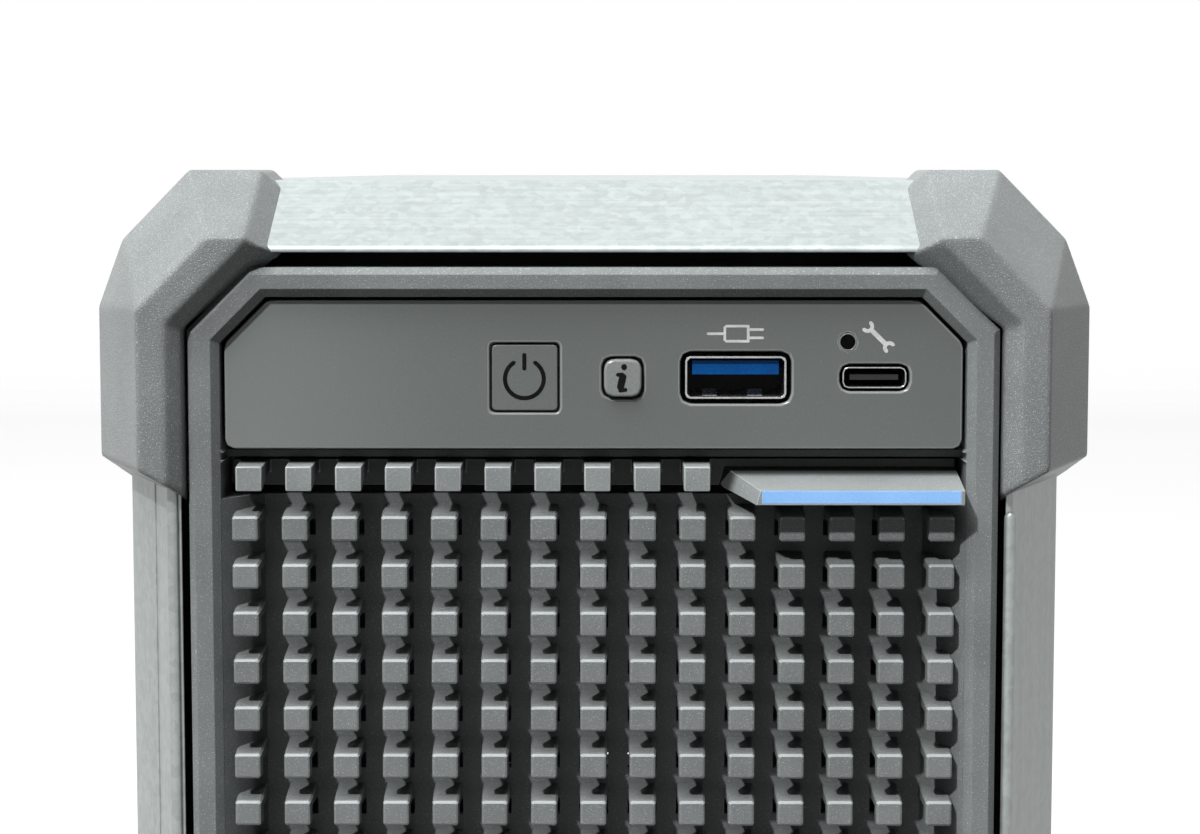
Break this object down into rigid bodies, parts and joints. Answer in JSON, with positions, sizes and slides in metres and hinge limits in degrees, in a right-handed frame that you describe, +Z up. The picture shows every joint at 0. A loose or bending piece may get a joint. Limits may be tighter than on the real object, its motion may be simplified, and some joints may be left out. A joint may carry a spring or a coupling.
{
  "type": "tower server",
  "caption": "Compact upright server case with faceted corner bumpers, a hinged block-pattern front bezel, a control strip with ports and buttons, and a sliding steel side cover.",
  "frame": {"origin": "on the floor under the middle of the machine", "axes": "+Z up, -Y to the front bezel, +X to the right seen from the front"},
  "size_m": [0.1368, 0.38, 0.326],
  "materials": {
    "galvanised_steel": "spangled, satin",
    "bumper_plastic": "fine grain",
    "bezel_plastic": "fine grain",
    "panel_plastic": "satin",
    "touch_blue": "satin",
    "port_steel": "bright",
    "port_blue": "satin",
    "black_plastic": "matt",
    "circuit_board": "satin",
    "aluminium": "milled",
    "brass": "bright",
    "rubber": "matt",
    "light_pipe": "clear",
    "cable": "matt",
    "drive_case": "cast",
    "nickel": "bright"
  },
  "bodies": {
    "chassis": {"top_panel": "galvanised_steel", "bottom_panel": "galvanised_steel", "right_panel": "galvanised_steel", "left_post": "galvanised_steel", "front_wall": "galvanised_steel", "rear_panel": "galvanised_steel", "upper_right_bumper": "bumper_plastic", "upper_left_bumper": "bumper_plastic", "lower_right_bumper": "bumper_plastic", "lower_left_bumper": "bumper_plastic", "rubber_feet": "rubber", "bezel_hinge_arms": "galvanised_steel", "bezel_hinge_pins": "nickel", "control_panel": "panel_plastic", "control_board": "circuit_board", "status_light_pipe": "light_pipe", "usb_a_shell": "port_steel", "usb_a_tongue": "port_blue", "usb_c_shell": "port_steel", "usb_c_tongue": "black_plastic", "panel_cable": "cable", "motherboard": "circuit_board", "board_standoffs": "brass", "hex_screws": "nickel", "processor_socket": "nickel", "processor": "nickel", "heat_sink": "aluminium", "heat_sink_screws": "nickel", "memory_slots": "black_plastic", "memory_modules": "circuit_board", "coin_cell": "nickel", "chipset_heat_sink": "aluminium", "expansion_slots": "black_plastic", "board_power_cable": "cable", "drive_cables": "cable", "fan_frame": "black_plastic", "psu_case": "galvanised_steel", "psu_board": "circuit_board", "ac_inlet": "black_plastic", "ac_pins": "brass", "drive_cage": "galvanised_steel", "drive_trays": "black_plastic", "hard_drives": "drive_case", "slot_covers": "galvanised_steel", "io_shield": "galvanised_steel", "rear_ports": "port_steel", "network_jacks": "port_steel"},
    "bezel": {"bezel_frame": "bezel_plastic", "bezel_grille": "bezel_plastic"},
    "bezel_latch": {"bezel_latch": "bezel_plastic", "latch_touch_strip": "touch_blue"},
    "power_button": {"power_button": "panel_plastic"},
    "info_button": {"info_button": "panel_plastic"},
    "side_cover": {"side_cover": "galvanised_steel", "cover_thumbscrews": "black_plastic"},
    "fan_rotor": {"fan_rotor": "black_plastic"},
    "psu_fan_rotor": {"psu_fan_rotor": "black_plastic"},
    "card_retainer": {"card_retainer": "touch_blue"},
    "memory_latch_1": {"memory_latch_1": "black_plastic"},
    "memory_latch_2": {"memory_latch_2": "black_plastic"}
  },
  "joints": [
    {"name": "bezel_hinge", "type": "hinge", "parent": "chassis", "child": "bezel", "pos_m": [0, -0.1826, 0.01735], "axis": [1, 0, 0], "range_deg": [0, 25]},
    {"name": "bezel_latch_slide", "type": "slide", "parent": "bezel", "child": "bezel_latch", "axis": [0, 0, -1], "range_m": [0, 0.001], "stiffness_N_per_m": 1500, "springref_m": -0.0005},
    {"name": "power_button_press", "type": "slide", "parent": "chassis", "child": "power_button", "axis": [0, 1, 0], "range_m": [0, 0.001], "stiffness_N_per_m": 1500, "springref_m": -0.0005},
    {"name": "info_button_press", "type": "slide", "parent": "chassis", "child": "info_button", "axis": [0, 1, 0], "range_m": [0, 0.001], "stiffness_N_per_m": 1500, "springref_m": -0.0005},
    {"name": "side_cover_slide", "type": "slide", "parent": "chassis", "child": "side_cover", "axis": [0, 1, 0], "range_m": [0, 0.014]},
    {"name": "fan_spin", "type": "hinge", "parent": "chassis", "child": "fan_rotor", "pos_m": [0, -0.1515, 0.2003], "axis": [0, 1, 0], "continuous": true},
    {"name": "psu_fan_spin", "type": "hinge", "parent": "chassis", "child": "psu_fan_rotor", "pos_m": [0.0117, 0.0975, 0.063], "axis": [0, 0, 1], "continuous": true},
    {"name": "card_retainer_swing", "type": "hinge", "parent": "chassis", "child": "card_retainer", "pos_m": [-0.02455, 0.169, 0.11252], "axis": [0, 0, 1], "range_deg": [0, 80]},
    {"name": "memory_latch_1_swing", "type": "hinge", "parent": "chassis", "child": "memory_latch_1", "pos_m": [0.0517, 0.014, 0.16135], "axis": [0, -1, 0], "range_deg": [0, 30]},
    {"name": "memory_latch_2_swing", "type": "hinge", "parent": "chassis", "child": "memory_latch_2", "pos_m": [0.0517, 0.024, 0.16135], "axis": [0, -1, 0], "range_deg": [0, 30]}
  ]
}
